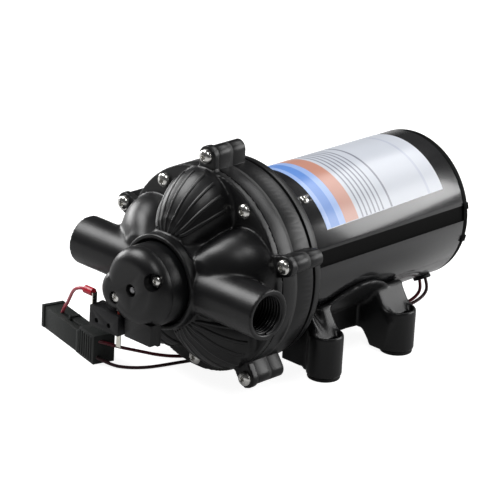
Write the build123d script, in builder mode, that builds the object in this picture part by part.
"""Five-chamber diaphragm pump with a flanged head, a pressure switch and a round motor.

The origin lies on the ground in the middle of the four mounting holes. +Y runs from the head to the
rear of the motor, +X to the outlet port and +Z up. All sizes are in millimetres.

A station is a distance behind the front face of the head's flange, so what stands in front of it
has a negative one. Heights named _Z are measured from the motor axis.
"""
from build123d import *
import math
import os

os.makedirs("parts", exist_ok=True)

# Driving dimensions of the whole pump
AXIS_H = 55.0  # motor axis above the ground
FLANGE_Y = -73.0  # front face of the head's flange
CHAMBERS = 5  # pumping chambers, and corners of the head
FIT = 0.05  # radial clearance of a running fit
RUN_GAP = 0.5  # gap where rubber or a moving piece needs room
PAST = 1.0  # how far a cutter runs past the face it opens

# Head stack, from the front backwards
COVER_FLANGE_T = 4.0
VALVE_PLATE_T = 8.0
DIAPHRAGM_T = 1.6
HOUSING_FLANGE_T = 8.4
HEAD_R = 51.0  # round head between its corner lugs
SCREW_R = 57.0  # corner screws from the axis
LUG_R = 5.2
BOSS_R = 4.4  # lugs behind the cover's
CHAMBER_R = 28.5  # chamber centres from the axis
DISH_R = 13.0
DISH_DEPTH = 5.4

# Head screws
HEAD_SCREW_R = 2.0
HEAD_SCREW_CAP_R = 3.7
HEAD_SCREW_CAP_H = 2.6
HEAD_SCREW_END_WALL = 1.2  # behind the blind holes in the housing flange
SCREW_HOLE_GAP = 0.25
CAP_ROUNDING = 0.45  # of a pan head's height
RECESS_R = 1.5
RECESS_DEPTH = 1.4

# Front cover
HUB_R = 21.8
HUB_FACE = 27.0  # hub face in front of the flange
HUB_RIM_INNER_R = 21.2
HUB_RIM_R = 23.5
HUB_RIM_H = 2.5
HUB_SKIRT = ((4.0, 34.0), (-2.0, 33.0), (-12.0, 26.0), (-23.0, 22.2))  # stations and radii
CENTRE_CHAMBER_R = 12.0
CENTRE_WALL = 3.0
HUB_WALL = 6.0
PETAL_FOOT_R = 19.0
PETAL_SCREW_GAP = 3.3  # between a petal's foot and the cap of its corner screw
PETAL_WAIST = (17.0, 29.5)  # radius of a petal, and its centre from the axis
PETAL_TOP = (10.0, 21.5)
PETAL_WAIST_SHARE = 0.55
PETAL_H = 22.0
COVER_WALL = 3.0
GALLERY_DEPTH = 8.0
PORT_R = 12.3
PORT_BORE_R = 7.0
PORT_THREAD_R = 9.6
PORT_THREAD_L = 17.0
PORT_CHAMFER = 0.8
PORT_FORWARD = 17.0  # port axis in front of the flange face
PORT_REACH = 61.7  # port mouth from the motor axis
PASSAGE_R = 5.0
PASSAGE_X = 26.0
SENSE_HOLE_R = 2.5

# Valves
UMBRELLA_R = 5.6
UMBRELLA_T = 0.9
STEM_R = 1.2
STEM_BULB_R = 1.8
STEM_NOSE = 1.7
VALVE_PORT_R = 1.1
VALVE_PORT_PCD_R = 3.3
VALVE_PORTS = 4
OUTLET_HOLE_R = 1.5
OUTLET_HOLE_AT = 8.5
OUTLET_SLOT_W = 4.0
OUTLET_SLOT_DEPTH = 2.5
OUTLET_VALVE_R = 11.2
OUTLET_VALVE_RIM_T = 0.7
OUTLET_VALVE_DOME = 2.6
OUTLET_VALVE_CROWN_R = 4.0
STEM_POCKET_R = 3.0
STEM_POCKET_DEPTH = 2.5

# Wobble drive, with places along the cam's tilted journal from the wobble centre
TILT = 3.0  # degrees between the motor axis and the cam's journal
PISTON_R = 9.8
PISTON_T = 2.0
ROLL_OUTER_R = 12.8
ROLL_INNER_R = 8.8
ROLL_WALL = 1.2
ROLL_REACH = 4.0
ROLL_T = 1.4
PAD_R = 8.4
SPIDER_FRONT = 7.0
SPIDER_T = 3.0
ARM_W = 14.0
WOBBLE_HUB_WALL = 4.0
BEARING_BORE_R = 8.5
BEARING_R = 17.5
BEARING_W = 10.0
RACE_T = 2.6
CAM_BALLS = 10
CAM_NOSE_L = 4.5
CAM_NOSE_R = 7.0
CAM_SHOULDER_R = 10.6
CAM_SHOULDER_T = 1.6
GRUB_R = 1.5
GRUB_SOCKET_R = 0.8
GRUB_SOCKET_DEPTH = 1.0
PISTON_SCREW_R = 1.9
PISTON_SCREW_CAP_R = 3.2
PISTON_SCREW_CAP_H = 1.3
PISTON_SCREW_SINK = 0.2
PISTON_SCREW_END_WALL = 0.6
PISTON_RECESS_R = 1.1
PISTON_RECESS_DEPTH = 0.7

# Drive housing
DRIVE_GAP = 1.97  # between the tilted hub and the housing's rear wall
HOUSING_WALL = 3.4
GROOVE_FRONT = 24.5
GROOVE_W = 1.6
GROOVE_DEPTH = 1.4
RIM_R = 50.2  # rear corner of the rim behind the groove
RIM_REAR = 30.5
HOUSING_REAR_R = 42.0  # where the housing meets the motor
REAR_WALL_T = 2.6
LOBE_GAP = 0.4
SPIDER_OPENING_R = 24.0
FLANGE_SCREW_R = 2.0
FLANGE_SCREW_CAP_R = 3.2
FLANGE_SCREW_CAP_H = 2.0
FLANGE_SCREW_L = 6.4
FLANGE_SCREW_AT = 30.0
FLANGE_SCREWS = 4
QUARTER = 45.0  # degrees from straight up to the first of four equal places

# Motor
CAN_R = 37.2
CAN_WALL = 2.0
SLEEVE_T = 0.8
SLEEVE_GAP_ANGLE = 8.0  # middle of the sleeve's gap above the horizontal
SLEEVE_GAP_W = 8.0
MOTOR_L = 116.2  # housing's rear rim to the rear face of the motor
SLEEVE_INSET = 2.5
SLEEVE_REAR_GAP = 0.4  # between the sleeve and the end cap
END_CAP_T = 4.7
END_CAP_FILLET = 3.2
SPIGOT_L = 3.0
TAB_ANGLES = (13.0, -13.7)
TAB_R = 38.4
TAB_W = 3.4
TAB_L = 3.2
FRONT_PLATE_T = 4.5
FRONT_SKIRT_L = 6.5
FRONT_SKIRT_T = 2.6
BEARING_BOSS_R = 14.0
SHAFT_R = 4.0
SHAFT_REACH = 18.0  # shaft end in front of the motor's front face
BALL_RACE_R = 11.0
BALL_RACE_W = 7.0
BALL_RACE_WALL = 2.2
MOTOR_BALLS = 8
REAR_BOSS_L = 7.0
REAR_POCKET_WALL = 4.0
MAGNET_T = 3.7
MAGNET_GAP = 0.1
MAGNET_L = 56.0
MAGNET_INSET = 29.7  # from the motor's rear face
MAGNET_HALF_ARC = 65.0
ARMATURE_R = 30.4
ARMATURE_L = 46.0
ARMATURE_INSET = 34.7
SLOTS = 10
SLOT_W = 6.0
SLOT_DEPTH = 13.0
SLOT_GAP = 0.3
COIL_R = 25.5
COIL_INNER_R = 10.0
COIL_L = 8.0
COMMUTATOR_R = 11.5
COMMUTATOR_L = 12.0
COMMUTATOR_INSET = 13.2
BRUSH_W = 6.0
BRUSH_L = 12.0
BRUSH_H = 8.0
BRUSH_GAP = 0.1
BRUSH_SPRING_R = 2.0
BRUSH_WIRE_R = 0.35
BRUSH_SPRING_TURNS = 5
SPRING_STEPS = 8  # runs to one turn of a coil
HOLDER_WALL = 1.2
HOLDER_START_R = 13.5
HOLDER_END_R = 32.0
BRUSH_CARD_T = 1.5
BRUSH_CARD_BORE_R = 15.0
BOLT_R = 2.0
BOLT_AT = 33.0
BOLT_CAP_R = 3.0
BOLT_CAP_H = 2.2
BOLT_SINK = 0.6
CAN_SCREW_INSET = 8.0
CAN_SCREW_R = 1.2
CAN_SCREW_CAP_R = 2.4
CAN_SCREW_CAP_H = 1.6
CAN_SCREW_L = 4.5
CAN_SCREW_ANGLES = (55, 145, 235, 325)
GROMMET_FROM_END = 10.2
GROMMET_ANGLE = -62.5
GROMMET_R = 3.4
GROMMET_FLANGE_R = 4.6
GROMMET_FLANGE_T = 1.8
GROMMET_DEPTH = 2.7

# Base
HOLE_X = 84.0
HOLE_Y = 53.0
FOOT_R = 8.8
FOOT_TOP = 18.3
FOOT_FILLET = 1.5
SADDLE_WALL = 3.2
SADDLE_GAP = 0.1
SADDLE_INSET = 3.0  # from the motor's front face
SADDLE_L = 69.5
SADDLE_END_Z = -22.3  # upper edge of the cradle at its two ends
HUMP_Z = -14.7  # and at the middle of its raised part
HUMP_INSET = 15.1  # from the cradle's front end
HUMP_L = 42.9
KEEL_HALF_W = 24.0
KEEL_Z = -45.0
KEEL_TOP_Z = -30.0
FRONT_LEG_L = 15.0
REAR_LEG_INSET = 48.0  # from the cradle's front end
REAR_LEG_L = 20.0
LEG_BULGE_X = 39.2  # a point of the leg's hollow outer side
LEG_BULGE_Z = -29.5
LEG_OVER_FOOT = 4.0  # leg's outer side past the hole's centre
LEG_INSIDE = 9.0  # and its inner side before it
LEG_ROOT = 3.0  # leg's inner corner outside the keel
LEG_OVERLAP = 4.0  # leg's joint with the keel
LEG_ROOT_DROP = 1.0
LEG_JOINT_DROP = 6.0
LEG_SKIRT_T = 2.5
LEG_SKIRT_X = 18.0
LEG_SKIRT_DROP = 7.0
GROMMET_CORE_R = 5.0
FOOT_HOLE_R = 2.75
PAD_T = 2.0
PAD_FOOT_R = 8.2
PAD_FLANGE_R = 6.8
PAD_FLANGE_T = 1.5
BASE_SCREW_INSETS = (13.5, 53.5)  # from the cradle's front end
BASE_SCREW_R = 2.0
BASE_SCREW_CAP_R = 3.2
BASE_SCREW_CAP_H = 2.0
BASE_SCREW_SINK = 0.4
BASE_SCREW_BITE = 2.6  # screw tips inside the sleeve's face

# Pressure switch
SWITCH_R = 20.0
SWITCH_SPLIT = 38.0  # joint between the switch's body and its cap, before the flange face
SWITCH_FACE = 46.5  # front face of the switch
SWITCH_EDGE_FILLET = 8.0
SWITCH_BOTTOM_Z = -15.6
LOBE_AT = (-12.6, -5.0)
LOBE_R = 10.4
LOBE_REAR = 31.0
LOBE_FILLET = 6.0
RIGHT_SCREW_AT = (12.8, 7.8)
RIGHT_SCREW_SEAT = 41.9
RIGHT_RECESS_R = 4.3
LEFT_SCREW_AT = (-11.2, -7.1)
LEFT_SCREW_SEAT = 44.4
LEFT_RECESS_R = 3.1
SWITCH_SCREW_R = 1.5
SWITCH_SCREW_CAP_R = 2.8
SWITCH_SCREW_CAP_H = 1.8
SWITCH_SCREW_BITE = 4.5
SWITCH_CHAMBER_R = 8.8
SWITCH_DIAPHRAGM_R = 10.6
SWITCH_DIAPHRAGM_T = 1.2
PLUNGER_R = 8.2
PLUNGER_T = 2.0
PLUNGER_ROD_R = 2.4
PLUNGER_ROD_L = 3.8
SPRING_R = 4.6
SPRING_WIRE_R = 0.6
SPRING_TURNS = 3
SPRING_SEAT_R = 5.8
SPRING_SEAT_T = 1.5
CAP_HOLLOW_L = 3.4
ADJUST_SCREW_R = 1.6
ADJUST_TIP = 35.6
NUB_R = 1.9
NUB_REAR = 42.6
NUB_L = 1.0
NUB_RECESS_R = 3.2
DRIVER_SLOT_W = 0.6

# Crank between the plunger and the microswitch
CRANK_PIN_Z = -11.8
CRANK_PIN_AT = 37.5
CRANK_PIN_R = 0.8
CRANK_HUB_R = 1.8
CRANK_T = 1.4
CRANK_ARM_X = (-11.4, -9.0)
CRANK_FINGER_X = (-7.8, -6.0)
CRANK_PIN_X = (-14.5, -3.5)
CRANK_ROOM = 0.5
CRANK_NOSE_Z = -0.8
CRANK_NOSE_W = 0.8
CRANK_NOSE_GAP = 0.3

# Microswitch
MICRO_X = (-27.4, -7.6)
MICRO_STATIONS = (-46.5, -40.1)
MICRO_Z = (-26.0, -15.8)
MICRO_PIN_R = 1.2
MICRO_PINS = ((-22.5, -22.5), (-14.0, -22.5))
BRACKET_T = 2.0
BRACKET_END_X = 13.0
PILLAR_X = (-4.5, 13.0)
PILLAR_LOW_Z = -25.0
PILLAR_FRONT = 45.0
BUTTON_R = 0.9
BUTTON_H = 1.3
BUTTON_TRAVEL = 0.7
BUTTON_L = 1.5  # length of the button inside the case
TERMINAL_W = 2.8
TERMINAL_T = 0.5
TERMINAL_L = 7.0
TERMINAL_X = -10.0
SPADE_Z = -10.5
SPADE_LOW_Z = -20.0
SPADE_END_X = -31.5
CRIMP_R = 2.0
CRIMP_X = (-34.2, -28.6)

# Leads and connector, which lie on the ground beside the pump
LEAD_R = 0.85
ARC_SHARE = 0.45  # of the shorter run that an arc of the route may take
PLUG_TURN = -14.0  # the connector's long way, in degrees from +X
PLUG_ORIGIN = (-37.0, -99.7)  # middle of the end where the two motor leads leave
PLUG_L = 15.0
PLUG_W = 12.0
PLUG_H = 15.0
RECEPTACLE_L = 39.0
RECEPTACLE_W = 11.0
RECEPTACLE_H = 11.5
PLUG_NOSE_L = 8.0
PLUG_NOSE_WALL = 1.6
RED_ROUTE = [
    (16.1, 71.5, 19.6), (18.2, 71.3, 15.1), (18.4, 68.0, 11.0), (17.2, 61.5, 8.3), (14.6, 51.5, 6.2),
    (9.6, 37.0, 3.4), (2.5, 16.0, 1.2), (-3.0, -12.0, 1.0), (-8.0, -38.0, 1.0), (-12.6, -56.0, 1.0),
    (-17.8, -66.5, 1.0), (-25.0, -74.0, 1.4), (-30.6, -81.0, 3.4), (-32.4, -88.5, 6.2),
    (-32.6, -95.4, 9.2), (-35.6, -100.4, 11.4), (-39.4, -103.2, 12.0),
]
BLACK_ROUTE = [
    (19.7, 71.5, 21.5), (22.4, 71.5, 16.8), (23.0, 68.2, 12.8), (22.3, 61.5, 10.2), (19.8, 51.5, 7.8),
    (14.5, 37.0, 4.0), (6.5, 16.0, 1.3), (1.0, -14.0, 1.0), (-4.5, -42.0, 1.0), (-9.0, -60.0, 1.0),
    (-12.8, -71.5, 1.0), (-15.2, -80.0, 1.0), (-18.2, -88.5, 1.0), (-23.8, -96.0, 1.0),
    (-30.5, -100.9, 1.4), (-38.8, -103.5, 3.7),
]
SWITCH_ROUTE = [
    (-33.4, -116.4, 44.5), (-38.0, -117.0, 44.0), (-44.5, -114.5, 40.0), (-53.5, -108.0, 32.0),
    (-64.0, -100.0, 23.0), (-73.0, -93.5, 16.5), (-77.8, -90.5, 10.6),
]

# Stations and radii that follow from them
VALVE_FACE = COVER_FLANGE_T
PETAL_FOOT = (PETAL_FOOT_R, SCREW_R - HEAD_SCREW_CAP_R - PETAL_SCREW_GAP - PETAL_FOOT_R)
DIAPHRAGM_FACE = VALVE_FACE + VALVE_PLATE_T
DISH_FLOOR = DIAPHRAGM_FACE - DISH_DEPTH
HOUSING_FACE = DIAPHRAGM_FACE + DIAPHRAGM_T
HOUSING_FLANGE_REAR = HOUSING_FACE + HOUSING_FLANGE_T
HEAD_SCREW_BORE = HOUSING_FLANGE_REAR - HEAD_SCREW_END_WALL
SCREW_TIP = HEAD_SCREW_BORE - RUN_GAP
SIDE_SCREW_R = SCREW_R * math.cos(math.pi / CHAMBERS)
SIDE_TURN = 180 / CHAMBERS
WOBBLE_CENTRE = DIAPHRAGM_FACE + DIAPHRAGM_T / 2
BEARING_FRONT = SPIDER_FRONT + SPIDER_T
BEARING_REAR = BEARING_FRONT + BEARING_W
WOBBLE_HUB_R = BEARING_R + FIT + WOBBLE_HUB_WALL
HUB_SWING = WOBBLE_HUB_R * math.sin(math.radians(TILT))
REAR_WALL = WOBBLE_CENTRE + BEARING_REAR + HUB_SWING + DRIVE_GAP
HOUSING_LEN = REAR_WALL + REAR_WALL_T
MOTOR_END = HOUSING_LEN + MOTOR_L
SHAFT_FRONT = HOUSING_LEN - SHAFT_REACH
SLEEVE_FRONT = HOUSING_LEN + SLEEVE_INSET
SLEEVE_L = MOTOR_L - SLEEVE_INSET - END_CAP_T - SLEEVE_REAR_GAP
SLEEVE_REAR = SLEEVE_FRONT + SLEEVE_L
MAGNET_FRONT = MOTOR_END - MAGNET_INSET - MAGNET_L
ARMATURE_FRONT = MOTOR_END - ARMATURE_INSET - ARMATURE_L
COMMUTATOR_FRONT = MOTOR_END - COMMUTATOR_INSET - COMMUTATOR_L
CAN_SCREW_AT = HOUSING_LEN + CAN_SCREW_INSET
GROMMET_AT = MOTOR_END - GROMMET_FROM_END
CAN_BORE_R = CAN_R - CAN_WALL
SLEEVE_R = CAN_R + SLEEVE_T
SADDLE_R = SLEEVE_R + SADDLE_GAP
CRADLE_R = SADDLE_R + SADDLE_WALL
SADDLE_FRONT = HOUSING_LEN + SADDLE_INSET
SADDLE_REAR = SADDLE_FRONT + SADDLE_L
HUMP_FRONT = SADDLE_FRONT + HUMP_INSET
HUMP_REAR = HUMP_FRONT + HUMP_L
REAR_LEG_FRONT = SADDLE_FRONT + REAR_LEG_INSET
LEG_SPANS = ((SADDLE_FRONT, SADDLE_FRONT + FRONT_LEG_L), (REAR_LEG_FRONT, REAR_LEG_FRONT + REAR_LEG_L))
BASE_SCREW_STATIONS = [SADDLE_FRONT + inset for inset in BASE_SCREW_INSETS]
BASE_SCREW_TIP_R = SLEEVE_R - BASE_SCREW_BITE
FRONT_PLATE_REAR = HOUSING_LEN + FRONT_PLATE_T
FRONT_RACE = FRONT_PLATE_REAR - BALL_RACE_W
END_CAP_FRONT = MOTOR_END - END_CAP_T
REAR_RACE = MOTOR_END - REAR_POCKET_WALL - BALL_RACE_W
SWITCH_SCREWS = (
    (RIGHT_SCREW_AT, RIGHT_SCREW_SEAT, RIGHT_RECESS_R),
    (LEFT_SCREW_AT, LEFT_SCREW_SEAT, LEFT_RECESS_R),
)

SIDE = Plane(origin=(0, FLANGE_Y, AXIS_H), x_dir=(0, 1, 0), z_dir=(1, 0, 0))
TURN = Axis((0, FLANGE_Y, AXIS_H), (0, 1, 0))
WOBBLE_POINT = Vector(0, FLANGE_Y + WOBBLE_CENTRE, AXIS_H)
WOBBLE_DIR = Vector(0, math.cos(math.radians(TILT)), math.sin(math.radians(TILT)))
TILT_SIDE = Plane(origin=WOBBLE_POINT, x_dir=WOBBLE_DIR, z_dir=(1, 0, 0))
TILT_TURN = Axis(WOBBLE_POINT, WOBBLE_DIR)


def across(station):
    """Plane square to the motor axis at a station. What is extruded from it runs to the front."""
    return Plane(origin=(0, FLANGE_Y + station, AXIS_H), x_dir=(1, 0, 0), z_dir=(0, -1, 0))


def tilted(place):
    """Plane square to the cam's journal, that far behind the wobble centre."""
    return Plane(origin=WOBBLE_POINT + WOBBLE_DIR * place, x_dir=(1, 0, 0), z_dir=WOBBLE_DIR * -1)


def radial(station, angle, distance):
    """Plane whose normal points straight out from the motor axis."""
    out = Vector(math.cos(math.radians(angle)), 0, math.sin(math.radians(angle)))
    return Plane(origin=Vector(0, FLANGE_Y + station, AXIS_H) + out * distance, x_dir=(0, 1, 0), z_dir=out)


def spots(radius, offset_angle=0.0, count=CHAMBERS):
    """Places on a circle about the axis, the first straight up."""
    angles = [math.radians(90 + offset_angle + i * 360 / count) for i in range(count)]
    return [(radius * math.cos(angle), radius * math.sin(angle)) for angle in angles]


def five(radius, offset_angle=0.0):
    """Turned places about the axis, one for each chamber, the first straight up."""
    return PolarLocations(radius, CHAMBERS, start_angle=90 + offset_angle)


def turn(outline, plane=SIDE, axis=TURN, mode=Mode.ADD):
    """Adds or cuts a ring turned from an outline of (station, radius) points."""
    with BuildSketch(plane) as profile:
        with BuildLine():
            Polyline(*outline, close=True)
        make_face()
    revolve(profile.sketch, axis=axis, mode=mode)


def ring(front, rear, inner, outer, plane=SIDE, axis=TURN, mode=Mode.ADD):
    """Adds or cuts a plain ring between two stations."""
    turn([(front, inner), (front, outer), (rear, outer), (rear, inner)], plane, axis, mode)


def bars(plane, radius, length, places=((0, 0),), mode=Mode.ADD):
    """Adds or cuts equal round bars from a plane along its normal."""
    with BuildSketch(plane) as section:
        with Locations(*places):
            Circle(radius)
    extrude(section.sketch, amount=length, mode=mode)


def block(x_span, stations, z_span, mode=Mode.ADD):
    """Adds or cuts a block between two x, two stations and two heights from the axis."""
    with BuildSketch(across(stations[1])) as section:
        with Locations(((x_span[0] + x_span[1]) / 2, (z_span[0] + z_span[1]) / 2)):
            Rectangle(x_span[1] - x_span[0], z_span[1] - z_span[0])
    extrude(section.sketch, amount=stations[1] - stations[0], mode=mode)


def head_outline(lug, screw_holes):
    """Round outline of the head with its five corner lugs."""
    with BuildSketch(Plane.XY) as outline:
        Circle(HEAD_R)
        with five(SCREW_R / 2):
            Rectangle(SCREW_R, 2 * lug)
        with Locations(*spots(SCREW_R)):
            Circle(lug)
        if screw_holes:
            with Locations(*spots(SCREW_R), *spots(SIDE_SCREW_R, SIDE_TURN)):
                Circle(HEAD_SCREW_R + SCREW_HOLE_GAP, mode=Mode.SUBTRACT)
    return outline.sketch


def flange_plate(rear, thickness, lug, screw_holes=True):
    """Adds a flange plate whose rear face lies at a station."""
    extrude(across(rear) * head_outline(lug, screw_holes), amount=thickness, dir=(0, -1, 0))


def tube(points, radius):
    """Round tube on straight runs joined by arcs as large as the runs allow, with its arcs and length."""
    corners = [Vector(*point) for point in points]
    runs = [end - start for start, end in zip(corners, corners[1:])]
    arcs = []
    for before, after in zip(runs, runs[1:]):
        half_turn = math.radians(before.get_angle(after)) / 2
        arcs.append(ARC_SHARE * min(before.length, after.length) / math.tan(half_turn))
    with BuildPart() as piece:
        with BuildLine() as path:
            FilletPolyline(*corners, radius=arcs)
        with BuildSketch(Plane(origin=corners[0], z_dir=runs[0])) as section:
            Circle(radius)
        sweep(section.sketch, path=path.line)
    return piece.part, arcs, path.wires()[0].length


def coil(start, end, radius, wire_r, turns):
    """Compression spring between two points, on short runs joined by arcs."""
    axis = Vector(*end) - Vector(*start)
    frame = Plane(origin=start, z_dir=axis)
    steps = turns * SPRING_STEPS
    travel = axis.length - 2 * wire_r
    points = []
    for step in range(steps + 1):
        angle = 2 * math.pi * step / SPRING_STEPS
        climb = wire_r + travel * step / steps
        points.append(frame.from_local_coords((radius * math.cos(angle), radius * math.sin(angle), climb)))
    return tube([tuple(point) for point in points], wire_r)[0]


def pan_screws(seat, cap_r, cap_h, shank_r, tip, places, recess_r=RECESS_R, recess_depth=RECESS_DEPTH):
    """Pan-head screws with their heads before a station and their shanks to the rear."""
    with BuildPart() as screws:
        bars(across(seat), cap_r, cap_h, places)
        fillet(screws.edges().filter_by(GeomType.CIRCLE).group_by(Axis.Y)[0], cap_h * CAP_ROUNDING)
        bars(across(tip), shank_r, tip - seat, places)
        with BuildSketch(across(seat - cap_h + recess_depth)) as recess:
            with Locations(*places):
                RegularPolygon(recess_r, 6)
        extrude(recess.sketch, amount=recess_depth, mode=Mode.SUBTRACT)
    return screws.part


def finish(part, name):
    """Labels a piece and writes its file."""
    part.label = name
    export_step(part, f"parts/{name}.step")


# Front cover: flange, five petals round a hub, and the two ports in one barrel
def petal(wall):
    """Lofts one rounded petal that leans from the flange to the hub, drawn in by a wall."""
    height = PETAL_H + VALVE_FACE - wall
    sections = []
    for share, (radius, reach) in ((0, PETAL_FOOT), (PETAL_WAIST_SHARE, PETAL_WAIST), (1, PETAL_TOP)):
        with BuildSketch(across(VALVE_FACE - share * height)) as section:
            with Locations((0, reach)):
                Circle(radius - wall)
        sections.append(section.sketch)
    return loft(sections, mode=Mode.PRIVATE)


OUTER_PETAL = petal(0)
INNER_PETAL = petal(COVER_WALL)
TO_AXIS = Pos(0, FLANGE_Y, AXIS_H)
FROM_AXIS = Pos(0, -FLANGE_Y, -AXIS_H)
PETAL_PLACES = [TO_AXIS * Rot(0, -i * 360 / CHAMBERS, 0) * FROM_AXIS for i in range(CHAMBERS)]
PORT_CENTRE_Y = FLANGE_Y - PORT_FORWARD
INLET_MOUTH = Plane(origin=(-PORT_REACH, PORT_CENTRE_Y, AXIS_H), x_dir=(0, 1, 0), z_dir=(1, 0, 0))
OUTLET_MOUTH = Plane(origin=(PORT_REACH, PORT_CENTRE_Y, AXIS_H), x_dir=(0, 1, 0), z_dir=(-1, 0, 0))
CENTRE_FRONT = HUB_WALL - HUB_FACE

with BuildPart() as front_cover:
    flange_plate(VALVE_FACE, COVER_FLANGE_T, LUG_R)
    turn([(VALVE_FACE, 0), *HUB_SKIRT, (-HUB_FACE, HUB_R), (-HUB_FACE, 0)])
    for place in PETAL_PLACES:
        add(place * OUTER_PETAL)
    ring(-HUB_FACE - HUB_RIM_H, -HUB_FACE + COVER_WALL, HUB_RIM_INNER_R, HUB_RIM_R)
    for place in PETAL_PLACES:
        add(place * INNER_PETAL, mode=Mode.SUBTRACT)
    centre_wall_r = CENTRE_CHAMBER_R + CENTRE_WALL
    ring(VALVE_FACE - GALLERY_DEPTH, VALVE_FACE, centre_wall_r, CHAMBER_R, mode=Mode.SUBTRACT)
    ring(-HUB_FACE, VALVE_FACE, 0, centre_wall_r)
    bars(INLET_MOUTH, PORT_R, 2 * PORT_REACH)
    ring(-HUB_FACE - HUB_RIM_H - PAST, -HUB_FACE, 0, HUB_RIM_INNER_R, mode=Mode.SUBTRACT)
    ring(CENTRE_FRONT, VALVE_FACE, 0, CENTRE_CHAMBER_R, mode=Mode.SUBTRACT)
    bars(INLET_MOUTH, PORT_BORE_R, PORT_REACH - PASSAGE_X + PASSAGE_R, mode=Mode.SUBTRACT)
    bars(OUTLET_MOUTH, PORT_BORE_R, PORT_REACH - CENTRE_CHAMBER_R + PAST, mode=Mode.SUBTRACT)
    for mouth in (INLET_MOUTH, OUTLET_MOUTH):
        bars(mouth, PORT_THREAD_R, PORT_THREAD_L, mode=Mode.SUBTRACT)
    bars(across(VALVE_FACE), PASSAGE_R, VALVE_FACE + PORT_FORWARD, [(-PASSAGE_X, 0)], Mode.SUBTRACT)
    bars(across(CENTRE_FRONT + PAST), SENSE_HOLE_R, HUB_WALL + 2 * PAST, mode=Mode.SUBTRACT)
    switch_pilots = [place for place, *_ in SWITCH_SCREWS]
    pilot_end = SWITCH_SCREW_BITE - HUB_FACE
    bars(across(pilot_end), SWITCH_SCREW_R + FIT, SWITCH_SCREW_BITE + PAST, switch_pilots, Mode.SUBTRACT)
    circles = front_cover.edges().filter_by(GeomType.CIRCLE)
    rims = [edge for edge in circles if abs(edge.radius - PORT_THREAD_R) < FIT]
    chamfer([edge for edge in rims if abs(edge.arc_center.X) > PORT_REACH - PAST], PORT_CHAMFER)
finish(front_cover.part, "front_cover")

HEAD_SCREW_SPOTS = spots(SCREW_R) + spots(SIDE_SCREW_R, SIDE_TURN)
head_screws = pan_screws(0, HEAD_SCREW_CAP_R, HEAD_SCREW_CAP_H, HEAD_SCREW_R, SCREW_TIP, HEAD_SCREW_SPOTS)
finish(head_screws, "head_screws")

# Valve plate: a dish for each chamber, its inlet ports and an outlet way to the centre
with BuildPart() as valve_plate:
    flange_plate(DIAPHRAGM_FACE, VALVE_PLATE_T, BOSS_R)
    bars(across(DIAPHRAGM_FACE), DISH_R, DISH_DEPTH, spots(CHAMBER_R), Mode.SUBTRACT)
    for centre_x, centre_z in spots(CHAMBER_R):
        ports = [(centre_x + x, centre_z + z) for x, z in spots(VALVE_PORT_PCD_R, QUARTER, VALVE_PORTS)]
        bars(across(DIAPHRAGM_FACE), VALVE_PORT_R, VALVE_PLATE_T, ports, Mode.SUBTRACT)
    bars(across(DIAPHRAGM_FACE), STEM_R + FIT, VALVE_PLATE_T, [*spots(CHAMBER_R), (0, 0)], Mode.SUBTRACT)
    bars(across(DIAPHRAGM_FACE), OUTLET_HOLE_R, VALVE_PLATE_T, spots(OUTLET_HOLE_AT), Mode.SUBTRACT)
    slot_inner = OUTLET_HOLE_AT - OUTLET_HOLE_R
    slot_outer = CHAMBER_R - DISH_R + PAST
    with BuildSketch(across(DIAPHRAGM_FACE)) as slots:
        with five((slot_inner + slot_outer) / 2):
            Rectangle(slot_outer - slot_inner, OUTLET_SLOT_W)
    extrude(slots.sketch, amount=OUTLET_SLOT_DEPTH, mode=Mode.SUBTRACT)
    bars(across(DIAPHRAGM_FACE), STEM_POCKET_R, STEM_POCKET_DEPTH, mode=Mode.SUBTRACT)
finish(valve_plate.part, "valve_plate")

# Valves: a rubber umbrella at each inlet and one dished disc over the outlets
with BuildPart() as inlet_valves:
    umbrella_back = DISH_FLOOR + UMBRELLA_T
    bars(across(umbrella_back), UMBRELLA_R, UMBRELLA_T, spots(CHAMBER_R))
    bars(across(DISH_FLOOR), STEM_R, DISH_FLOOR - VALVE_FACE + STEM_NOSE, spots(CHAMBER_R))
    bars(across(VALVE_FACE), STEM_BULB_R, STEM_NOSE, spots(CHAMBER_R))
finish(inlet_valves.part, "inlet_valves")

with BuildPart() as outlet_valve:
    turn([
        (VALVE_FACE, 0),
        (VALVE_FACE, OUTLET_VALVE_R),
        (VALVE_FACE - OUTLET_VALVE_RIM_T, OUTLET_VALVE_R),
        (VALVE_FACE - OUTLET_VALVE_DOME, OUTLET_VALVE_CROWN_R),
        (VALVE_FACE - OUTLET_VALVE_DOME, 0),
    ])
    stem_end = DIAPHRAGM_FACE - RUN_GAP
    ring(VALVE_FACE, stem_end, 0, STEM_R)
    ring(DIAPHRAGM_FACE - STEM_POCKET_DEPTH, stem_end, 0, STEM_BULB_R)
finish(outlet_valve.part, "outlet_valve")

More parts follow.
